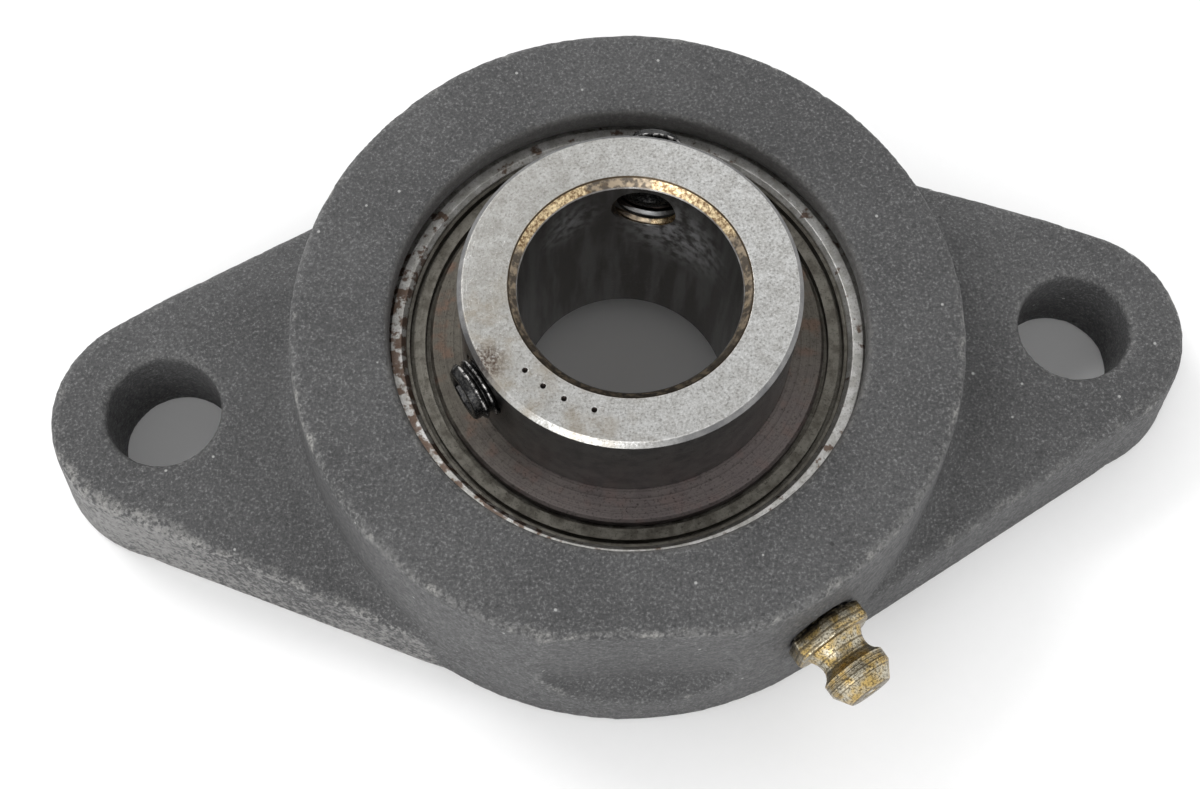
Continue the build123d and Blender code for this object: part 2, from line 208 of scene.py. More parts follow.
class Graph:
    """A material's node tree, with short calls that add a node and link what goes into it."""

    def __init__(self, name):
        self.material = bpy.data.materials.new(name)
        self.material.use_nodes = True
        self.tree = self.material.node_tree
        self.tree.nodes.clear()
        self.out = self.tree.nodes.new("ShaderNodeOutputMaterial")
        coordinates = self.tree.nodes.new("ShaderNodeTexCoord")
        inputs = {0: coordinates.outputs["Object"], "Scale": 1 / MM}
        self.place = self.add("ShaderNodeVectorMath", inputs, operation="SCALE").outputs[0]
        self.x, self.y, self.z = self.add("ShaderNodeSeparateXYZ", {0: self.place}).outputs
        squares = self.plus(self.times(self.x, self.x), self.times(self.y, self.y))
        self.radius = self.calc("SQRT", squares)

    def feed(self, node, inputs):
        for key, value in inputs.items():
            socket = node.inputs[key]
            if isinstance(value, bpy.types.NodeSocket):
                self.tree.links.new(value, socket)
            else:
                socket.default_value = value

    def add(self, kind, inputs, **settings):
        node = self.tree.nodes.new(kind)
        for key, value in settings.items():
            setattr(node, key, value)
        self.feed(node, inputs)
        return node

    def vectors(self, operation, a, b):
        """The outputs of an operation on two vectors: a Vector, or a Value."""
        return self.add("ShaderNodeVectorMath", {0: a, 1: b}, operation=operation).outputs

    def calc(self, operation, a, b=0.0, clamp=False):
        node = self.add("ShaderNodeMath", {0: a, 1: b}, operation=operation, use_clamp=clamp)
        return node.outputs[0]

    def times(self, *factors):
        product = factors[0]
        for factor in factors[1:]:
            product = self.calc("MULTIPLY", product, factor)
        return product

    def plus(self, a, b):
        return self.calc("ADD", a, b)

    def stretched(self, factors):
        return self.vectors("MULTIPLY", self.place, factors)["Vector"]

    def noise(self, size, detail=3.0, vector=None, roughness=0.55):
        """Noise whose lumps are about this many millimetres across, from 0 to 1."""
        inputs = {"Vector": vector or self.place, "Scale": 1 / size}
        inputs.update({"Detail": detail, "Roughness": roughness})
        return self.add("ShaderNodeTexNoise", inputs).outputs["Fac"]

    def specks(self, spacing, size, share):
        """1 in small round specks: one in each of this share of the cells of a lattice."""
        inputs = {"Vector": self.place, "Scale": 1 / spacing}
        cell = self.add("ShaderNodeTexVoronoi", inputs)
        pick = self.add("ShaderNodeSeparateColor", {0: cell.outputs["Color"]}).outputs[0]
        spot = self.span(cell.outputs["Distance"], size / spacing, 0.6 * size / spacing)
        return self.times(spot, self.calc("GREATER_THAN", pick, 1 - share))

    def span(self, value, low, high, start=0.0, end=1.0):
        """Maps low..high smoothly to start..end, held at both ends."""
        inputs = {"Value": value, "From Min": low, "From Max": high, "To Min": start, "To Max": end}
        return self.add("ShaderNodeMapRange", inputs, interpolation_type="SMOOTHSTEP").outputs[0]

    def mix(self, factor, a, b):
        """Colour a where the factor is 0 and colour b where it is 1."""
        node = self.tree.nodes.new("ShaderNodeMix")
        node.data_type = "RGBA"
        self.feed(node, {0: factor, MIX_A: a, MIX_B: b})
        return node.outputs[MIX_RESULT]

    def joined(self, x, y, z):
        return self.add("ShaderNodeCombineXYZ", {0: x, 1: y, 2: z}).outputs[0]

    def turning(self, size):
        """Noise in rings round the shaft axis, as a tool leaves them."""
        return self.noise(size, 2.0, self.joined(self.radius, self.z, 0.0))

    def attribute(self, name):
        return self.add("ShaderNodeAttribute", {}, attribute_name=name).outputs["Fac"]

    def near(self, azimuth, radius, height, reach, soft):
        """1 within this many millimetres of a point, fading to 0 over twice the soft length."""
        point = around(azimuth) * radius + Vector((0, 0, height))
        distance = self.vectors("DISTANCE", self.place, point)["Value"]
        return self.span(distance, reach + soft, reach - soft)

    def near_circle(self, radius, reach):
        """1 within this many millimetres of a circle about the shaft axis, seen along it."""
        off = self.calc("ABSOLUTE", self.calc("SUBTRACT", self.radius, radius))
        return self.calc("LESS_THAN", off, reach)

    def facing(self, azimuth, narrow=1.0):
        """1 on the side of the shaft axis that lies at this azimuth, 0 on the far side."""
        flat = self.joined(self.x, self.y, 0.0)
        along = self.vectors("DOT_PRODUCT", flat, around(azimuth))["Value"]
        return self.span(self.calc("DIVIDE", along, self.radius), 1 - narrow, 1.0)

    def bump(self, height, depth, normal=None):
        """Normal disturbed by a height from 0 to 1 that stands for this many millimetres."""
        inputs = {"Height": height, "Distance": depth * MM, "Strength": 1.0}
        if normal:
            inputs["Normal"] = normal
        return self.add("ShaderNodeBump", inputs).outputs[0]

    def rounded(self, radius):
        """Normal that rounds the edges by this many millimetres."""
        inputs = {"Radius": radius * MM}
        return self.add("ShaderNodeBevel", inputs, samples=BEVEL_SAMPLES).outputs[0]

    def finish(self, **inputs):
        """Makes the surface a Principled one. Underscores stand for the spaces in its inputs."""
        names = {key.replace("_", " "): value for key, value in inputs.items()}
        shader = self.add("ShaderNodeBsdfPrincipled", names)
        self.tree.links.new(shader.outputs[0], self.out.inputs["Surface"])
        return self.material


def around(azimuth):
    """Level unit vector at an azimuth in degrees."""
    return Vector((cos(radians(azimuth)), sin(radians(azimuth)), 0.0))


def rgb(red, green, blue):
    return (red, green, blue, 1.0)


def grey(value):
    return rgb(value, value, value)


# Colours of the casting
PAINT_DEEP, PAINT_PALE = rgb(0.051, 0.051, 0.052), rgb(0.065, 0.065, 0.066)
SAND_PALE, SAND_DARK = grey(0.195), rgb(0.02, 0.02, 0.021)
IRON_RUBBED, IRON_CHIPPED = rgb(0.30, 0.295, 0.285), rgb(0.30, 0.295, 0.28)
SPECK_PALE, SPECK_DARK = rgb(0.42, 0.42, 0.41), grey(0.012)
IRON_MACHINED = rgb(0.12, 0.115, 0.11)

# Colours of the inner ring: its face, its dark side, the film at the mouth of the bore, the bore.
# Among them is painted light: shade on the face and in the punch dots, gold highlights on the film
# and glare on the bore wall.
FACE_DULL, FACE_BRIGHT = rgb(0.45, 0.445, 0.43), rgb(0.54, 0.54, 0.53)
FACE_PIT, FACE_GLINT = rgb(0.21, 0.205, 0.19), rgb(0.8, 0.8, 0.79)
FACE_TARNISH_AND_SHADE, FACE_STAIN = rgb(0.24, 0.23, 0.205), rgb(0.27, 0.22, 0.15)
FACE_BURR, FACE_PUNCH_SHADE = rgb(0.07, 0.045, 0.035), rgb(0.025, 0.02, 0.018)
OXIDE_DEEP, OXIDE_PALE = rgb(0.15, 0.15, 0.152), rgb(0.23, 0.228, 0.225)
OXIDE_GRIME = rgb(0.015, 0.013, 0.012)
FILM_BROWN, FILM_GOLD_HIGHLIGHT = rgb(0.17, 0.10, 0.05), rgb(0.88, 0.72, 0.45)
FILM_DARK, FILM_DULL = rgb(0.10, 0.085, 0.07), rgb(0.32, 0.26, 0.19)
FILM_EDGE = rgb(0.06, 0.045, 0.03)
BORE_DEEP, BORE_PALE = rgb(0.16, 0.15, 0.142), rgb(0.27, 0.265, 0.26)
BORE_GLARE = rgb(0.9, 0.9, 0.92)

# Colours of the outer ring's land
LAND_DULL, LAND_BRIGHT = rgb(0.50, 0.49, 0.46), rgb(0.72, 0.71, 0.69)
LAND_PIT, LAND_RUST = rgb(0.2, 0.19, 0.17), rgb(0.12, 0.062, 0.035)

# Colours of the pressed pieces: a pair for each, and what lies on all of them
SHROUD_SHEET = rgb(0.09, 0.083, 0.07), rgb(0.165, 0.156, 0.135)
FLINGER_SHEET = rgb(0.085, 0.077, 0.066), rgb(0.13, 0.12, 0.102)
CAGE_STRIP = rgb(0.35, 0.34, 0.32), rgb(0.48, 0.47, 0.45)
SPRING_WIRE = grey(0.4), grey(0.55)
SHEET_RUST, SHEET_PLUM = rgb(0.15, 0.09, 0.065), rgb(0.22, 0.185, 0.19)
SHEET_LINE, SHEET_GRIME = rgb(0.04, 0.037, 0.032), rgb(0.025, 0.022, 0.018)

# Colours of the seals, the balls, the screws and the fitting
RUBBER_DEEP, RUBBER_PALE = grey(0.012), grey(0.03)
BALL_DEEP, BALL_PALE = rgb(0.68, 0.68, 0.69), grey(0.8)
SCREW_DEEP, SCREW_PALE = rgb(0.012, 0.012, 0.013), rgb(0.05, 0.049, 0.047)
SCREW_RUBBED = rgb(0.42, 0.41, 0.40)
ZINC_PALE, ZINC_YELLOW = rgb(0.52, 0.48, 0.38), rgb(0.52, 0.37, 0.14)
ZINC_SCRATCH, ZINC_PIT = rgb(0.15, 0.12, 0.075), rgb(0.075, 0.06, 0.038)
ZINC_GRIME_AND_SHADE = rgb(0.03, 0.027, 0.022)


def casting_paint():
    """Dark grey satin paint over sand-cast iron, rubbed and chipped pale along its edges."""
    g = Graph("casting_paint")
    grain = g.noise(0.3, 4.0, roughness=0.75)
    sand = g.noise(0.8, 3.0)
    cloud = g.noise(13.0, 3.0)
    wear = g.attribute("wear")
    cut = g.attribute("cut")
    relief = g.plus(g.times(grain, 0.6), g.times(sand, 0.4))
    normal = g.bump(relief, 0.21)
    paint = g.mix(g.span(cloud, 0.35, 0.65), PAINT_DEEP, PAINT_PALE)
    paint = g.mix(g.span(grain, 0.5, 0.72, 0.0, 0.95), paint, SAND_PALE)
    paint = g.mix(g.span(grain, 0.5, 0.3, 0.0, 0.8), paint, SAND_DARK)
    rub = g.times(wear, g.span(g.plus(g.noise(0.6, 4.0), g.times(cloud, 0.4)), 0.58, 0.8))
    paint = g.mix(g.times(rub, 0.7), paint, IRON_RUBBED)
    bare = g.times(g.attribute("chip"), g.span(grain, 0.38, 0.62, 0.15, 0.95))
    paint = g.mix(bare, paint, IRON_CHIPPED)
    paint = g.mix(g.times(g.specks(1.7, 0.2, 0.12), 0.75), paint, SPECK_PALE)
    paint = g.mix(g.times(g.specks(3.4, 0.26, 0.05), 0.7), paint, SPECK_DARK)
    inside = g.times(cut, g.span(g.radius, SPHERE_RADIUS + 1.5, SPHERE_RADIUS + 0.5))
    paint = g.mix(g.times(inside, 0.5), paint, IRON_MACHINED)
    return g.finish(
        Base_Color=paint,
        Roughness=g.span(sand, 0.3, 0.7, 0.5, 0.72),
        Normal=normal,
        Metallic=0.0,
        Specular_IOR_Level=0.4,
    )


def ground_steel():
    """Inner ring: bright ground face, oxide-dark sides, oil film on the mouth of the bore.

    Painted into the colour are shade on the left of the face and in the punch dots, a glint on the
    chamfer, gold highlights on the film and glare on the bore wall.
    """
    g = Graph("ground_steel")
    grit = g.noise(0.26, 4.0, roughness=0.75)
    wander = g.noise(1.6, 3.0)
    turning = g.turning(0.1)
    relief = g.plus(g.times(turning, 0.35), g.times(grit, 0.65))
    normal = g.bump(relief, 0.03, g.rounded(0.1))

    face = g.mix(g.span(wander, 0.35, 0.65), FACE_DULL, FACE_BRIGHT)
    face = g.mix(g.span(grit, 0.49, 0.68, 0.0, 0.85), face, FACE_PIT)
    face = g.mix(g.span(grit, 0.5, 0.31, 0.0, 0.65), face, FACE_GLINT)
    # Partly a tarnish and partly painted shade: the left side of the face is darkened, broken up by
    # noise.
    left = g.times(g.facing(160, 1.3), g.span(g.noise(1.2, 4.0), 0.2, 0.7, 0.4, 1.0))
    face = g.mix(g.times(left, 0.62), face, FACE_TARNISH_AND_SHADE)
    stains = g.times(g.facing(-140, 0.6), g.span(g.noise(2.6, 3.0), 0.42, 0.7))
    face = g.mix(g.times(stains, 0.5), face, FACE_STAIN)
    burr = g.near(-155, 16.2, RING_FACE, 1.6, 1.0)
    face = g.mix(g.times(burr, g.span(grit, 0.35, 0.6), 0.9), face, FACE_BURR)

    oxide = g.mix(g.span(wander, 0.3, 0.7), OXIDE_DEEP, OXIDE_PALE)
    grime = g.near(-155, RING_RADIUS, RING_FACE - 4, 5.0, 2.0)
    oxide = g.mix(g.times(grime, 0.85), oxide, OXIDE_GRIME)
    below = g.span(g.z, RING_FACE - 0.06, RING_FACE - 0.14)
    # Painted glint: on the lower left the chamfer keeps the bright face steel in place of the
    # oxide.
    rubbed = g.times(g.facing(-118, 0.3), g.span(g.z, RING_FACE - 0.62, RING_FACE - 0.5))
    below = g.calc("SUBTRACT", below, rubbed, clamp=True)

    # Painted highlights: the oil film is bright gold mainly at two azimuths, upper left and upper
    # right, and dull elsewhere.
    gold_highlight_sides = g.calc("MAXIMUM", g.facing(130, 0.13), g.facing(48, 0.13))
    film = g.noise(0.4, 5.0, roughness=0.7)
    film = g.mix(g.span(film, 0.36, 0.68), FILM_BROWN, FILM_GOLD_HIGHLIGHT)
    dull = g.mix(g.span(g.noise(0.8, 3.0), 0.42, 0.62), FILM_DARK, FILM_DULL)
    film = g.mix(g.span(g.plus(gold_highlight_sides, g.times(g.noise(1.4, 3.0), 0.8)), 0.5, 0.8), dull, film)
    mouth = g.span(g.radius, BORE_RADIUS + 1.0, BORE_RADIUS + 0.9)

    steel = g.mix(below, face, oxide)
    # Painted shade: the punch dots are coloured near black, as their pits lie in shade.
    sunk = g.span(g.z, RING_FACE - 0.01, RING_FACE - 0.05)
    steel = g.mix(g.times(sunk, g.near_circle(PUNCH_CIRCLE, 1.0)), steel, FACE_PUNCH_SHADE)
    steel = g.mix(mouth, steel, film)
    steel = g.mix(g.near_circle(BORE_RADIUS + 0.87, 0.07), steel, FILM_EDGE)

    wall = g.span(g.radius, BORE_RADIUS + 0.15, BORE_RADIUS + 0.08)
    streaks = g.noise(1.8, 3.0, g.stretched((1.0, 1.0, 0.12)))
    bore = g.mix(g.span(streaks, 0.4, 0.65), BORE_DEEP, BORE_PALE)
    right_glare = g.near(55, BORE_RADIUS, RING_FACE - 8, 4.5, 3.5)
    left_glare = g.times(g.near(118, BORE_RADIUS, RING_FACE - 5, 2.5, 2.5), 0.6)
    glare = g.calc("MAXIMUM", right_glare, left_glare)
    bore = g.mix(g.times(glare, g.span(g.noise(1.0, 4.0), 0.35, 0.65)), bore, BORE_GLARE)
    steel = g.mix(wall, steel, bore)
    rough = g.span(g.plus(turning, grit), 0.7, 1.3, 0.26, 0.42)
    return g.finish(Base_Color=steel, Roughness=rough, Normal=normal, Metallic=1.0)


def land_steel():
    """Outer ring: its narrow bright land is freckled with brown rust."""
    g = Graph("land_steel")
    grit = g.noise(0.22, 4.0, roughness=0.7)
    normal = g.bump(grit, 0.02, g.rounded(0.12))
    steel = g.mix(g.span(g.noise(1.3, 3.0), 0.35, 0.65), LAND_DULL, LAND_BRIGHT)
    steel = g.mix(g.span(grit, 0.5, 0.75, 0.0, 0.8), steel, LAND_PIT)
    rust = g.span(g.plus(g.noise(1.1, 4.0), g.times(g.facing(-165, 0.7), 0.16)), 0.58, 0.68)
    steel = g.mix(g.times(rust, 0.85), steel, LAND_RUST)
    rough = g.span(grit, 0.3, 0.7, 0.28, 0.5)
    return g.finish(Base_Color=steel, Roughness=rough, Normal=normal, Metallic=1.0)


def pressed_steel(name, colours, roughness, red=0.0):
    """Dull pressed steel with drawing lines, grime and a reddish film in patches."""
    g = Graph(name)
    drawn = g.turning(0.22)
    smear = g.noise(1.6, 5.0, roughness=0.65)
    grit = g.noise(0.26, 4.0, roughness=0.75)
    normal = g.bump(g.plus(g.times(drawn, 0.6), g.times(grit, 0.4)), 0.04, g.rounded(0.12))
    colour = g.mix(g.span(smear, 0.38, 0.62), *colours)
    colour = g.mix(g.times(g.span(g.noise(2.2, 4.0), 0.5, 0.66), red), colour, SHEET_RUST)
    colour = g.mix(g.times(g.facing(-80, 0.9), red), colour, SHEET_PLUM)
    colour = g.mix(g.span(drawn, 0.5, 0.7, 0.0, 0.45), colour, SHEET_LINE)
    colour = g.mix(g.span(grit, 0.5, 0.72, 0.0, 0.75), colour, SHEET_GRIME)
    rough = g.span(smear, 0.3, 0.7, roughness - 0.06, roughness + 0.1)
    return g.finish(Base_Color=colour, Roughness=rough, Normal=normal, Metallic=1.0)


def seal_rubber():
    g = Graph("seal_rubber")
    fine = g.noise(0.2, 3.0)
    colour = g.mix(fine, RUBBER_DEEP, RUBBER_PALE)
    rough = g.span(fine, 0.3, 0.7, 0.5, 0.7)
    return g.finish(Base_Color=colour, Roughness=rough, Normal=g.bump(fine, 0.02))


def polished_balls():
    g = Graph("polished_balls")
    film = g.noise(2.0, 3.0)
    colour = g.mix(film, BALL_DEEP, BALL_PALE)
    rough = g.span(film, 0.3, 0.7, 0.06, 0.14)
    return g.finish(
        Base_Color=colour, Roughness=rough, Normal=g.bump(film, 0.001), Metallic=1.0
    )


def black_oxide():
    """Oiled black screws whose thread crests are rubbed to bare metal."""
    g = Graph("black_oxide")
    fine = g.noise(0.25, 4.0)
    colour = g.mix(g.span(fine, 0.4, 0.7), SCREW_DEEP, SCREW_PALE)
    wear = g.times(g.attribute("wear"), g.span(g.noise(0.6, 3.0), 0.42, 0.62))
    colour = g.mix(wear, colour, SCREW_RUBBED)
    rough = g.span(fine, 0.3, 0.7, 0.18, 0.4)
    return g.finish(
        Base_Color=colour, Roughness=rough, Normal=g.bump(fine, 0.02), Metallic=0.9
    )


def yellow_zinc():
    """Yellow zinc plate, scratched round the head, with grime and painted shade at the back of its
    hexagon.
    """
    g = Graph("yellow_zinc")
    along = g.vectors("DOT_PRODUCT", g.place, NIPPLE_WAY)["Value"]
    rings = g.noise(0.2, 3.0, g.joined(along, g.times(g.noise(1.4, 2.0), 0.12), 0.0))
    cloud = g.noise(1.5, 3.0)
    grit = g.noise(0.22, 4.0, roughness=0.7)
    colour = g.mix(g.span(cloud, 0.38, 0.62), ZINC_PALE, ZINC_YELLOW)
    colour = g.mix(g.span(rings, 0.48, 0.62, 0.0, 0.85), colour, ZINC_SCRATCH)
    colour = g.mix(g.span(grit, 0.46, 0.62, 0.0, 0.9), colour, ZINC_PIT)
    hexagon_back = NIPPLE_TIP.dot(NIPPLE_WAY) - FITTING_LENGTH
    # Grime and painted shade: the zinc is darkened near the back of the hexagon, where it meets the
    # boss.
    foot = g.span(along, hexagon_back + 0.9, hexagon_back + 0.1)
    colour = g.mix(g.times(foot, g.span(cloud, 0.35, 0.6)), colour, ZINC_GRIME_AND_SHADE)
    normal = g.bump(g.plus(g.times(rings, 0.6), g.times(grit, 0.4)), 0.05, g.rounded(0.1))
    rough = g.span(grit, 0.3, 0.7, 0.22, 0.5)
    return g.finish(Base_Color=colour, Roughness=rough, Normal=normal, Metallic=1.0)


def add_piece(name, mesh, body, slot, material, *stands_for):
    """Links a new mesh as a piece that rides a body and stands for CAD nodes."""
    piece = bpy.data.objects.new(name, mesh)
    bpy.context.scene.collection.objects.link(piece)
    mesh.materials.clear()
    mesh.materials.append(material)
    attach(piece, body)
    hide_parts(*stands_for)


def welded_copy(node):
    """A mesh copy of a CAD node whose faces share their corner points."""
    shape = bmesh.new()
    shape.from_mesh(nodes[node].data)
    bmesh.ops.remove_doubles(shape, verts=shape.verts, dist=WELD_DISTANCE * MM)
    mesh = bpy.data.meshes.new(node + "_copy")
    shape.to_mesh(mesh)
    shape.free()
    for name in ("custom_normal", "sharp_face", "sharp_edge"):
        if name in mesh.attributes:
            mesh.attributes.remove(mesh.attributes[name])
    return mesh


def with_modifier(mesh, kind, **settings):
    """The mesh that one modifier makes of this one."""
    holder = bpy.data.objects.new("holder", mesh)
    bpy.context.scene.collection.objects.link(holder)
    modifier = holder.modifiers.new(kind, kind)
    for key, value in settings.items():
        setattr(modifier, key, value)
    evaluated = holder.evaluated_get(bpy.context.evaluated_depsgraph_get())
    result = bpy.data.meshes.new_from_object(evaluated)
    bpy.data.objects.remove(holder)
    return result


def smooth_by_angle(mesh, limit):
    """Smooth shading, but for edges whose faces meet at more than this many degrees."""
    mesh.shade_smooth()
    mesh.set_sharp_from_angle(angle=radians(limit))


def mark(mesh, name, values):
    """Stores a number per point, which a material reads by this name."""
    attribute = mesh.attributes.new(name, "FLOAT", "POINT")
    attribute.data.foreach_set("value", np.asarray(values, dtype=np.float32))


def turned(name, rows, columns, closed=False):
    """Mesh turned about local Z from rows of (radius, height), in millimetres.

    A radius may be a function of the angle. Open ends get a centre point. closed joins the last
    row to the first.
    """
    shape = bmesh.new()
    angles = [2 * pi * index / columns for index in range(columns)]
    loops = []
    for radius, height in rows:
        sizes = [radius(angle) if callable(radius) else radius for angle in angles]
        loop = [
            shape.verts.new((size * cos(angle) * MM, size * sin(angle) * MM, height * MM))
            for size, angle in zip(sizes, angles)
        ]
        loops.append(loop)
    pairs = list(zip(loops, loops[1:]))
    if closed:
        pairs.append((loops[-1], loops[0]))
    for low, high in pairs:
        for index in range(columns):
            after = (index + 1) % columns
            shape.faces.new((low[index], low[after], high[after], high[index]))
    if not closed:
        for loop, row in ((loops[0], rows[0]), (loops[-1], rows[-1])):
            centre = shape.verts.new((0, 0, row[1] * MM))
            for index in range(columns):
                shape.faces.new((loop[index], loop[(index + 1) % columns], centre))
    bmesh.ops.recalc_face_normals(shape, faces=shape.faces)
    mesh = bpy.data.meshes.new(name)
    shape.to_mesh(mesh)
    shape.free()
    mesh.shade_smooth()
    return mesh


def thread_radius(root, depth, height):
    """Radius of a thread at this height, as a function of the angle."""
    def radius(angle):
        turn = height / THREAD_PITCH - angle / (2 * pi)
        flank = abs(2 * (turn - floor(turn)) - 1)
        return root + depth * min(1.0, max(0.0, (flank - THREAD_ROOT_SHARE) / THREAD_FLANK_SHARE))
    return radius


def thread_rows(start, end, root, depth):
    count = round((end - start) / (THREAD_PITCH / THREAD_STEPS))
    heights = [start + (end - start) * step / count for step in range(count + 1)]
    return [(thread_radius(root, depth, height), height) for height in heights]


def hexagon(apothem, limit=inf):
    """Radius of a hexagon with a corner at angle 0, its corners cut off at a limit."""
    def radius(angle):
        return min(apothem / cos((angle % (pi / 3)) - pi / 6), limit)
    return radius


def radial_frame(way, height, distance):
    """Matrix from local places to the frame that sets local Z outwards along way."""
    axes = Matrix((Vector((0, 0, 1)), way.cross(Vector((0, 0, 1))), way)).transposed()
    place = way * distance + Vector((0, 0, height))
    return Matrix.Translation(place * MM) @ axes.to_4x4()


def set_screw_mesh(name):
    """Threaded cup-point screw with a hexagon socket, its cup at local height 0."""
    root = SCREW_RADIUS - THREAD_DEPTH
    top = SCREW_LENGTH
    inside = SCREW_CHAMFER + 0.15
    cup = [(TURNED_TIP, CUP_DEPTH), (CUP_RADIUS - 0.05, 0.06), (CUP_RADIUS, 0.0)]
    point = [(root - 0.1, 0.0), (root, 0.08)]
    thread = thread_rows(inside, top - inside, root, THREAD_DEPTH)
    rim = [(root + 0.05, top - 0.1), (root - 0.1, top), (SOCKET_APOTHEM + 0.5, top)]
    socket = [(hexagon(SOCKET_APOTHEM + 0.12), top - 0.02), (hexagon(SOCKET_APOTHEM), top - 0.16)]
    socket.append((hexagon(SOCKET_APOTHEM), top - SOCKET_DEPTH))
    socket.append((TURNED_TIP, top - SOCKET_DEPTH - 0.4))
    mesh = turned(name, cup + point + thread + rim + socket, columns=72)
    places = np.array([vertex.co for vertex in mesh.vertices]) / MM
    crest = np.hypot(places[:, 0], places[:, 1]) > SCREW_RADIUS - 0.1
    mark(mesh, "wear", crest)
    return mesh


def dress_screws():
    material = black_oxide()
    for node in SCREWS:
        way = Vector(joint(node + "_drive")["axis"])
        centre = middle(node)
        mesh = set_screw_mesh(node + "_thread")
        mesh.transform(radial_frame(way, centre.z, centre.dot(way) - SCREW_LENGTH / 2))
        add_piece(node + "_dressed", mesh, node, "screw_steel", material, node)


def tap(node):
    """Cutter for the tapped hole of a set screw. It is longer than the wall at both ends."""
    way = Vector(joint(node + "_drive")["axis"])
    rows = thread_rows(BORE_RADIUS - 3, RING_RADIUS + 3, TAPPED_RADIUS - 0.01, TAPPED_DEPTH)
    plug = turned("plug", rows, columns=60)
    plug.transform(radial_frame(way, middle(node).z, 0.0))
    return plug


def punch(azimuth):
    """Cutter for a punch dot in the face of the inner ring: a cone with a short plug over it."""
    rows = [(PUNCH_TIP, RING_FACE - PUNCH_DEPTH), (PUNCH_RADIUS, RING_FACE)]
    dot = turned("dot", rows + [(PUNCH_RADIUS, RING_FACE + 0.5)], columns=14)
    dot.transform(Matrix.Translation(around(azimuth) * PUNCH_CIRCLE * MM))
    return dot


def inner_ring_mesh():
    """The CAD ring with its two holes tapped and its face punched."""
    cutters = bmesh.new()
    for node in SCREWS:
        cutters.from_mesh(tap(node))
    for azimuth in PUNCH_AZIMUTHS:
        cutters.from_mesh(punch(azimuth))
    cutter_mesh = bpy.data.meshes.new("ring_cutters")
    cutters.to_mesh(cutter_mesh)
    cutters.free()
    cutter = bpy.data.objects.new("ring_cutters", cutter_mesh)
    bpy.context.scene.collection.objects.link(cutter)
    settings = {"operation": "DIFFERENCE", "object": cutter, "solver": "EXACT"}
    mesh = with_modifier(welded_copy("inner_ring"), "BOOLEAN", **settings)
    bpy.data.objects.remove(cutter)
    smooth_by_angle(mesh, limit=30)
    return mesh


def hexagon_rows():
    """The fitting's hexagon, its corners trimmed and its front edge chamfered in an arc."""
    corner = HEX_APOTHEM / cos(pi / 6)
    rows = [
        (hexagon(HEX_APOTHEM - 0.1, corner - 0.3), 0.0),
        (hexagon(HEX_APOTHEM, corner - 0.14), 0.14),
        (hexagon(HEX_APOTHEM, corner - 0.1), HEX_HEIGHT - HEX_CHAMFER - 0.1),
    ]
    for step in range(4):
        flat = HEX_APOTHEM - 0.05 * step ** 2 / 9
        limit = corner - 0.1 - 0.75 * HEX_CHAMFER * step / 3
        rows.append((hexagon(flat, limit), HEX_HEIGHT - HEX_CHAMFER * (1 - step / 3)))
    return rows


def neck_rows():
    """The fitting's waist, narrowest a little past the middle."""
    rows = []
    for step in range(1, NECK_STEPS):
        share = step / NECK_STEPS
        bulge = (SHANK_RADIUS * (1 - share) + HEAD_RADIUS * share) - NECK_RADIUS
        radius = NECK_RADIUS + bulge * (2 * abs(share - 0.55)) ** 2.2
        rows.append((radius, HEX_HEIGHT + (HEAD_START - HEX_HEIGHT) * share))
    return rows


def head_rows():
    """The fitting's head, turned with fine grooves."""
    rows = [(HEAD_RADIUS - 0.12, HEAD_START - 0.02), (HEAD_RADIUS - 0.03, HEAD_START + 0.06)]
    land = (HEAD_END - HEAD_START - 0.2) / HEAD_GROOVES
    for index in range(HEAD_GROOVES):
        foot = HEAD_START + 0.1 + land * index
        rows += [(HEAD_RADIUS, foot), (HEAD_RADIUS, foot + 0.55 * land)]
        rows.append((HEAD_RADIUS - 0.07, foot + 0.75 * land))
    return rows + [(HEAD_RADIUS, HEAD_END - 0.08), (HEAD_RADIUS - 0.05, HEAD_END + 0.04)]


def fitting_mesh():
    """Grease fitting about local Z, from the end of its shank to its nose, bored through."""
    core = SHANK_RADIUS - 0.4
    rows = [(WAY_MOUTH_RADIUS, -SHANK_LENGTH), (core - 0.1, -SHANK_LENGTH)]
    rows.append((core, 0.4 - SHANK_LENGTH))
    rows += thread_rows(0.5 - SHANK_LENGTH, -0.3, core, 0.36)
    rows.append((SHANK_RADIUS - 0.3, 0.0))
    rows += hexagon_rows()
    rows += [(SHANK_RADIUS + 0.12, HEX_HEIGHT), (SHANK_RADIUS, HEX_HEIGHT + 0.06)]
    rows += neck_rows() + head_rows()
    rows += [(NOSE_RADIUS + 0.06, FITTING_LENGTH - 0.08), (NOSE_RADIUS - 0.08, FITTING_LENGTH)]
    rows += [(WAY_MOUTH_RADIUS + 0.07, FITTING_LENGTH), (WAY_MOUTH_RADIUS, FITTING_LENGTH - 0.07)]
    rows += [(WAY_MOUTH_RADIUS, FITTING_LENGTH - 0.45), (WAY_RADIUS, FITTING_LENGTH - 0.46)]
    rows += [(WAY_RADIUS, 0.4 - SHANK_LENGTH), (WAY_MOUTH_RADIUS, 0.39 - SHANK_LENGTH)]
    mesh = turned("fitting_skin", rows, columns=96, closed=True)
    reach = NIPPLE_TIP.xy.length - FITTING_LENGTH
    mesh.transform(radial_frame(NIPPLE_WAY, NIPPLE_TIP.z, reach))
    smooth_by_angle(mesh, limit=40)
    return mesh


def ramp(values, start, end):
    """0 up to start, 1 from end on and even between them."""
    return np.clip((values - start) / (end - start), 0, 1)


def lumps(places, size, seed):
    """Smooth noise about -1..1 at each place, whose lumps are this many millimetres across."""
    shift = np.array((seed, -seed, 2 * seed))
    return np.array([noise.noise(Vector(place)) for place in places / size + shift])


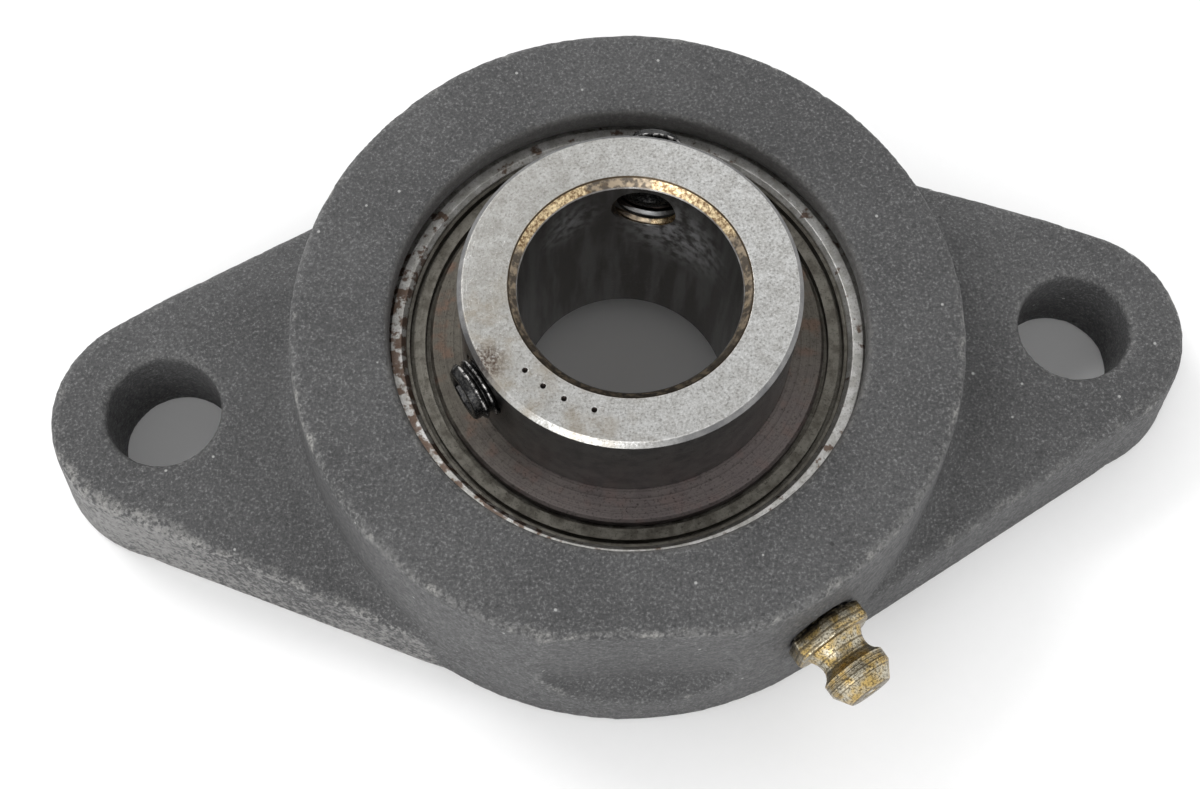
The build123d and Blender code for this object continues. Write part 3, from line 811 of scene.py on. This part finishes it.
def point_vectors(mesh, name):
    """The places or normals of a mesh's points, as rows of three."""
    values = np.empty(len(mesh.vertices) * 3, dtype=np.float32)
    mesh.vertices.foreach_get(name, values)
    return values.reshape(-1, 3)


def neighbour_mean(mesh):
    """Gives a function that takes a value per point to its mean over each point's neighbours."""
    count = len(mesh.vertices)
    edges = np.empty(len(mesh.edges) * 2, dtype=np.int64)
    mesh.edges.foreach_get("vertices", edges)
    valence = np.bincount(edges, minlength=count)

    def mean(values):
        total = np.bincount(edges[0::2], values[edges[1::2]], count)
        total += np.bincount(edges[1::2], values[edges[0::2]], count)
        return total / valence

    return mean


def convexity(mean, places, normals):
    """How far each point stands out of its neighbours' mean, in millimetres, evened out."""
    means = np.stack([mean(places[:, axis]) for axis in range(3)], axis=1)
    stand = np.einsum("ij,ij->i", places - means, normals)
    for _ in range(CONVEXITY_PASSES):
        stand = 0.4 * stand + 0.6 * mean(stand)
    return stand


def soften_edges(mean, places, normals):
    """Evens out the edges, which the remesh leaves stepped, most of all round the mounting face."""
    share = ramp(convexity(mean, places, normals), 0.0, 0.03)
    for _ in range(EDGE_SOFT_PASSES):
        for axis in range(3):
            places[:, axis] += share * (mean(places[:, axis]) - places[:, axis])
    low = places[:, 2] < BASE_SOFT_HEIGHT
    for _ in range(BASE_SOFT_PASSES):
        for axis in (0, 1):
            places[low, axis] = mean(places[:, axis])[low]


def settle(places, centre, true_radius, reach):
    """Moves points this near to a round wall exactly on to it. Its axis is parallel to Z."""
    offset = places[:, :2] - np.array(centre)
    radius = np.hypot(offset[:, 0], offset[:, 1])
    close = np.abs(radius - true_radius) < reach
    factor = np.where(close, true_radius / np.maximum(radius, 0.1), 1.0)
    places[:, :2] = np.array(centre) + offset * factor[:, None]


def settle_walls(places):
    """Takes the flats of the CAD mesh out of the casting's round walls."""
    z = places[:, 2]
    reach = np.where(z < LOW_WALL_HEIGHT, LOW_WALL_REACH, WALL_REACH)
    settle(places, (0, 0), BOSS_FACE_RADIUS + (BOSS_TOP - z) * tan(radians(BOSS_DRAFT)), reach)
    settle(places, (0, 0), MOUTH_RADIUS, WALL_REACH)
    for side in (-BOLT_X, BOLT_X):
        settle(places, (side, 0), BOLT_RADIUS, reach)
        settle(places, (side, 0), ARM_END_RADIUS - z * tan(radians(FLANGE_DRAFT)), reach)


def machined(places, distance, from_bolt):
    """Which points lie on faces that are cut after casting, each with a margin for the grid."""
    z = places[:, 2]
    from_tip = places - np.array(NIPPLE_TIP)
    along = from_tip @ np.array(NIPPLE_WAY)
    off_axis = np.linalg.norm(from_tip - np.outer(along, np.array(NIPPLE_WAY)), axis=1)
    seat = distance < SPHERE_RADIUS + 0.6
    seat &= (distance < MOUTH_RADIUS + 0.35) | (z < BOSS_TOP - 0.5)
    bolt_hole = from_bolt < BOLT_RADIUS + 0.25
    mounting_face = z < 0.12
    spot_face = (off_axis < SPOT_FACE_RADIUS + 0.2) & (along > -12) & (distance > 33)
    return seat | bolt_hole | mounting_face | spot_face


def skin_wear(places, normals, edge, distance, from_bolt):
    """How rubbed the skin's points are, and how much more likely than others to be chipped."""
    x, y, z = places.T
    near_rim = ramp(y, *RUBBED_Y) * ramp(x, *RUBBED_X)
    near_rim *= (z < RUBBED_TOP) & (from_bolt > BOLT_RADIUS + 1.5)
    rim_wall = near_rim * ((np.abs(normals[:, 2]) < 0.5) & (distance > BOSS_FACE_RADIUS + 1.5))
    boss_edge = (distance < BOSS_FACE_RADIUS + 1.0) & (z > BOSS_TOP - 1.5) & (y < -2)
    rub = edge * np.where(boss_edge, 0.42, 0.2 + 0.8 * near_rim) + 0.7 * rim_wall
    lean = np.where(boss_edge, -0.02, -0.16 + 0.32 * near_rim)
    return rub, lean


def housing_skin():
    """The casting as a dense skin: sand texture, swells and chipped edges, all cut inwards."""
    block = welded_copy("housing")
    mesh = with_modifier(block, "REMESH", mode="VOXEL", voxel_size=SKIN_VOXEL * MM)
    places = point_vectors(mesh, "co").astype(float) / MM
    settle_walls(places)
    mean = neighbour_mean(mesh)
    normals = point_vectors(mesh, "normal")
    edge = ramp(convexity(mean, places, normals), 0.012, 0.047)
    soften_edges(mean, places, normals)

    x, y, z = places.T
    distance = np.hypot(x, y)
    from_bolt = np.hypot(np.abs(x) - BOLT_X, y)
    cut = machined(places, distance, from_bolt)
    as_cast = ramp(distance, MOUTH_RADIUS + 0.4, MOUTH_RADIUS + 1.6)
    as_cast *= ramp(from_bolt, BOLT_RADIUS + 0.4, BOLT_RADIUS + 1.6)
    as_cast *= np.where(cut, 0.0, 1.0) * np.clip(z / 1.6, 0.15, 1)

    sand, swell, patch, bite = [lumps(places, *kind) for kind in (SAND, SWELL, PATCH, BITE)]
    rub, lean = skin_wear(places, normals, edge, distance, from_bolt)
    chip = edge * as_cast * ramp(bite + 0.5 * patch + 0.25 * sand + lean, 0.24, 0.36)
    depth = SAND_DEPTH * (1 + sand) + SWELL_DEPTH * (1 + swell) + CHIP_DEPTH * chip
    moved = (places - normals * (as_cast * depth)[:, None]) * MM
    mesh.vertices.foreach_set("co", moved.astype(np.float32).ravel())
    for name, values in (("wear", rub), ("chip", chip), ("cut", cut)):
        mark(mesh, name, values)
    mesh.shade_smooth()
    mesh.update()
    return mesh


def dress(material, *names):
    """Gives CAD nodes a material and smooth shading between their own sharp edges."""
    for name in names:
        mesh = nodes[name].data
        mesh.materials.clear()
        mesh.materials.append(material)
        mesh.shade_smooth()


def dress_all():
    add_piece(
        "housing_skin", housing_skin(), "housing", "housing_casting", casting_paint(), "housing"
    )
    add_piece(
        "inner_ring_dressed", inner_ring_mesh(), "inner", "ring_steel", ground_steel(), "inner_ring"
    )
    add_piece(
        "fitting_dressed", fitting_mesh(), "housing", "fitting_zinc", yellow_zinc(),
        "grease_fitting_body",
    )
    dress_screws()
    dress(land_steel(), "outer_ring")
    dress(pressed_steel("shroud_sheet", SHROUD_SHEET, 0.38), "shroud_front", "shroud_rear")
    dress(
        pressed_steel("flinger_sheet", FLINGER_SHEET, 0.56, red=0.55),
        "flinger_front", "flinger_rear",
    )
    dress(seal_rubber(), "seal_front", "seal_rear")
    cage_nodes = ("cage_front", "cage_rear", "cage_rivets")
    dress(pressed_steel("cage_strip", CAGE_STRIP, 0.3), *cage_nodes)
    balls = [name for name in nodes if name.startswith("ball_")]
    dress(polished_balls(), "grease_ball", *balls)
    dress(pressed_steel("spring_wire", SPRING_WIRE, 0.25), "grease_spring")


def table_top():
    """A pale table that keeps the object's shadow."""
    g = Graph("table_top")
    colour = g.mix(g.noise(1.5, 3.0), grey(0.94), grey(0.96))
    diffuse = g.add("ShaderNodeBsdfDiffuse", {"Color": colour})
    g.tree.links.new(diffuse.outputs[0], g.out.inputs["Surface"])
    bpy.ops.mesh.primitive_plane_add(size=TABLE_SIZE, location=(0, 0, 0))
    plane = bpy.context.object
    plane.name = "table_top"
    plane.data.materials.append(g.material)


def world():
    """White to the camera and a soft studio, dim overhead, to everything else."""
    scene_world = bpy.data.worlds.new("studio")
    bpy.context.scene.world = scene_world
    scene_world.use_nodes = True
    tree = scene_world.node_tree
    tree.nodes.clear()
    out = tree.nodes.new("ShaderNodeOutputWorld")
    background = tree.nodes.new("ShaderNodeBackground")
    background.inputs["Color"].default_value = grey(1.0)
    path = tree.nodes.new("ShaderNodeLightPath")
    way = tree.nodes.new("ShaderNodeTexCoord")
    height = tree.nodes.new("ShaderNodeSeparateXYZ")
    tree.links.new(way.outputs["Generated"], height.inputs[0])
    sky = tree.nodes.new("ShaderNodeMapRange")
    sky.interpolation_type = "SMOOTHSTEP"
    sky.inputs["From Min"].default_value = cos(radians(OVERHEAD_EDGE))
    sky.inputs["From Max"].default_value = cos(radians(OVERHEAD_CORE))
    sky.inputs["To Min"].default_value = WORLD_LEVEL
    sky.inputs["To Max"].default_value = OVERHEAD_LEVEL
    tree.links.new(height.outputs["Z"], sky.inputs["Value"])
    level = tree.nodes.new("ShaderNodeMapRange")
    tree.links.new(sky.outputs[0], level.inputs["To Min"])
    level.inputs["To Max"].default_value = 1.0
    tree.links.new(path.outputs["Is Camera Ray"], level.inputs["Value"])
    tree.links.new(level.outputs[0], background.inputs["Strength"])
    tree.links.new(background.outputs[0], out.inputs["Surface"])


def area_light(name, place, size, power):
    """A round light aimed at the part."""
    data = bpy.data.lights.new(name, "AREA")
    data.shape = "DISK"
    data.size = size
    data.energy = power
    lamp = bpy.data.objects.new(name, data)
    lamp.location = place
    lamp.rotation_euler = (LIGHT_AIM - lamp.location).to_track_quat("-Z", "Y").to_euler()
    bpy.context.scene.collection.objects.link(lamp)


def camera():
    """The photo's camera. Its angles turn the scene, so the camera takes their inverse."""
    data = bpy.data.cameras.new("photo_camera")
    data.lens = CAMERA_LENS
    data.sensor_width = SENSOR_WIDTH
    data.sensor_fit = "HORIZONTAL"
    data.clip_start = 0.005
    data.clip_end = 20
    holder = bpy.data.objects.new("photo_camera", data)
    turn = (
        Matrix.Rotation(radians(CAMERA_ROLL), 3, "Z")
        @ Matrix.Rotation(radians(-CAMERA_TILT), 3, "X")
        @ Matrix.Rotation(radians(CAMERA_YAW), 3, "Z")
    )
    holder.matrix_world = Matrix.Translation(CAMERA_PLACE) @ turn.inverted().to_4x4()
    bpy.context.scene.collection.objects.link(holder)
    bpy.context.scene.camera = holder


def studio():
    bpy.context.scene.view_settings.view_transform = "Standard"
    table_top()
    world()
    area_light("key", KEY_PLACE, KEY_SIZE, KEY_POWER)
    area_light("fill", FILL_PLACE, FILL_SIZE, FILL_POWER)
    camera()


dress_all()
studio()
